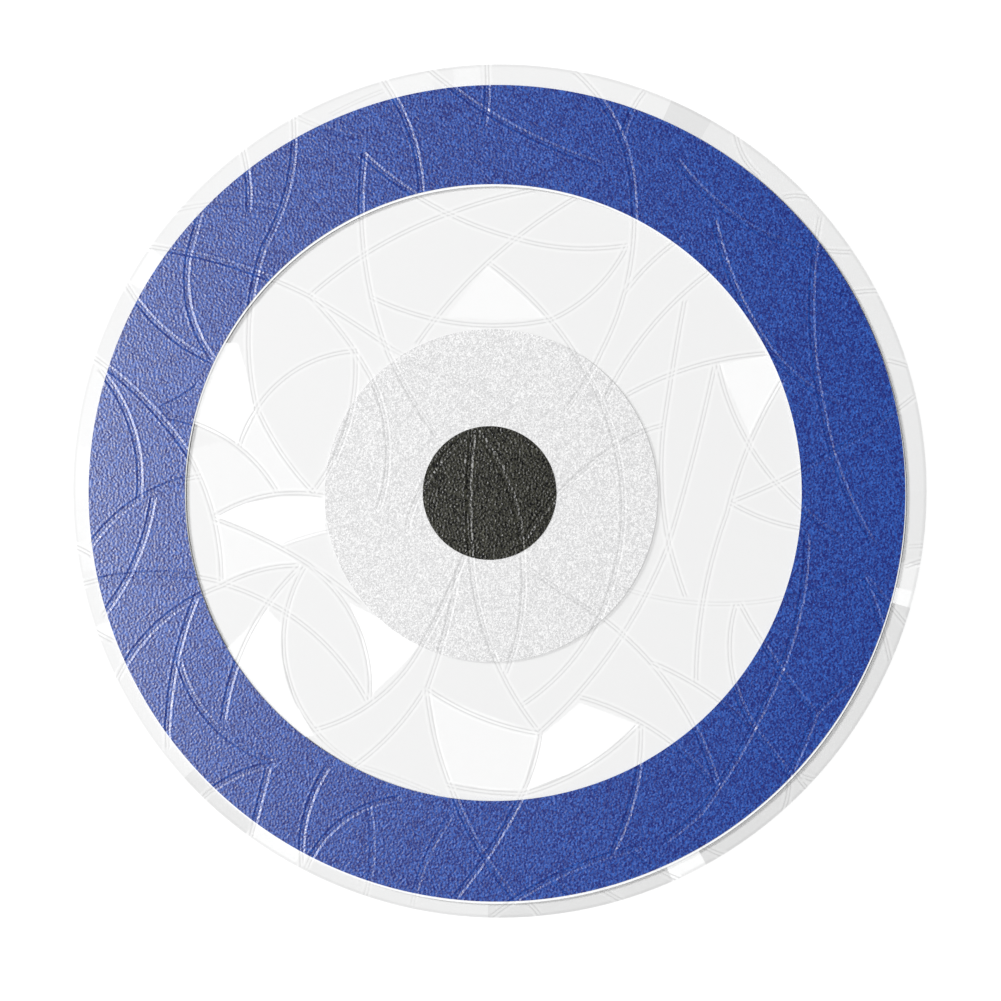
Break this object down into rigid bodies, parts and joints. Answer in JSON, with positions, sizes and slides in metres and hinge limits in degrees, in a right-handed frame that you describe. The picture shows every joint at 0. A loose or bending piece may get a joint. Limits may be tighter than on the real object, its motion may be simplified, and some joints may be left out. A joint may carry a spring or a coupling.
{
  "type": "evil eye window cling",
  "caption": "Round clear embossed prism-film window cling printed with an evil eye, on a clear release liner that it peels off.",
  "frame": {"origin": "bottom centre of the whole part's box, on the table under the release liner", "axes": "+Z out of the printed face, +Y towards the top of the eye, +X to the right as the eye is looked at"},
  "size_m": [0.1504, 0.15, 0.0005],
  "materials": {
    "clear_liner": "clear smooth polyester film",
    "clear_prism_film": "clear embossed glossy film",
    "white_ink": "matt white printed ink",
    "pearl_ink": "fine-grained pearl grey printed ink",
    "blue_ink": "fine-grained satin blue printed ink",
    "black_ink": "fine-grained satin charcoal printed ink"
  },
  "bodies": {
    "liner": {"release_liner": "clear_liner"},
    "cling": {"prism_film": "clear_prism_film", "white_ring_base": "white_ink", "white_iris": "pearl_ink", "blue_ring": "blue_ink", "black_pupil": "black_ink"}
  },
  "joints": [
    {"name": "peel_off", "type": "slide", "parent": "liner", "child": "cling", "axis": [0, 0, 1], "range_m": [0, 0.05]}
  ]
}
